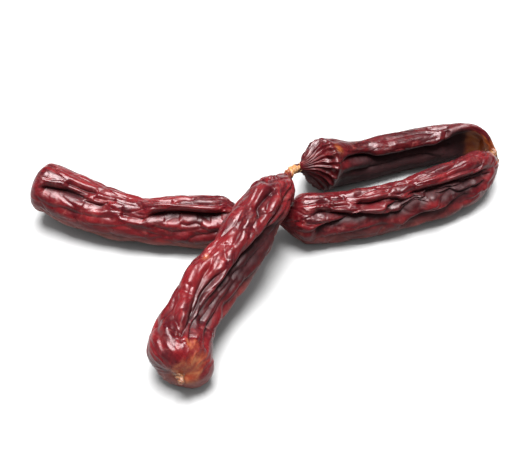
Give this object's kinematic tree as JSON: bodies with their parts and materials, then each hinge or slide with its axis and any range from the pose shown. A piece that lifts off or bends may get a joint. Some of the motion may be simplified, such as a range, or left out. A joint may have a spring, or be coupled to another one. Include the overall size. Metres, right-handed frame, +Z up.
{
  "type": "cured sausage",
  "caption": "String of dried cured sausage links in one natural casing, laid down with one link across the others and two folded side by side.",
  "frame": {"origin": "on the surface that the string rests on, under the middle of its bounding box", "axes": "+Z up from the resting surface; +X along the left and right links, from the free left end to the fold at the right; -Y towards the free end of the front link"},
  "size_m": [0.234, 0.162, 0.0385],
  "materials": {
    "meat": "wrinkled dried sausage in a thin natural casing, deep red-brown with a slight greasy shine",
    "casing": "twisted dry natural casing, amber, slightly translucent",
    "dry_casing": "paper-dry loose scrap of natural casing, pale and translucent"
  },
  "bodies": {
    "root": {"link_front": "meat", "link_left": "meat", "link_right_near": "meat", "link_right_far": "meat", "twist_front": "casing", "twist_middle": "casing", "twist_right": "casing", "casing_tail": "casing", "casing_flap": "dry_casing"}
  },
  "joints": []
}
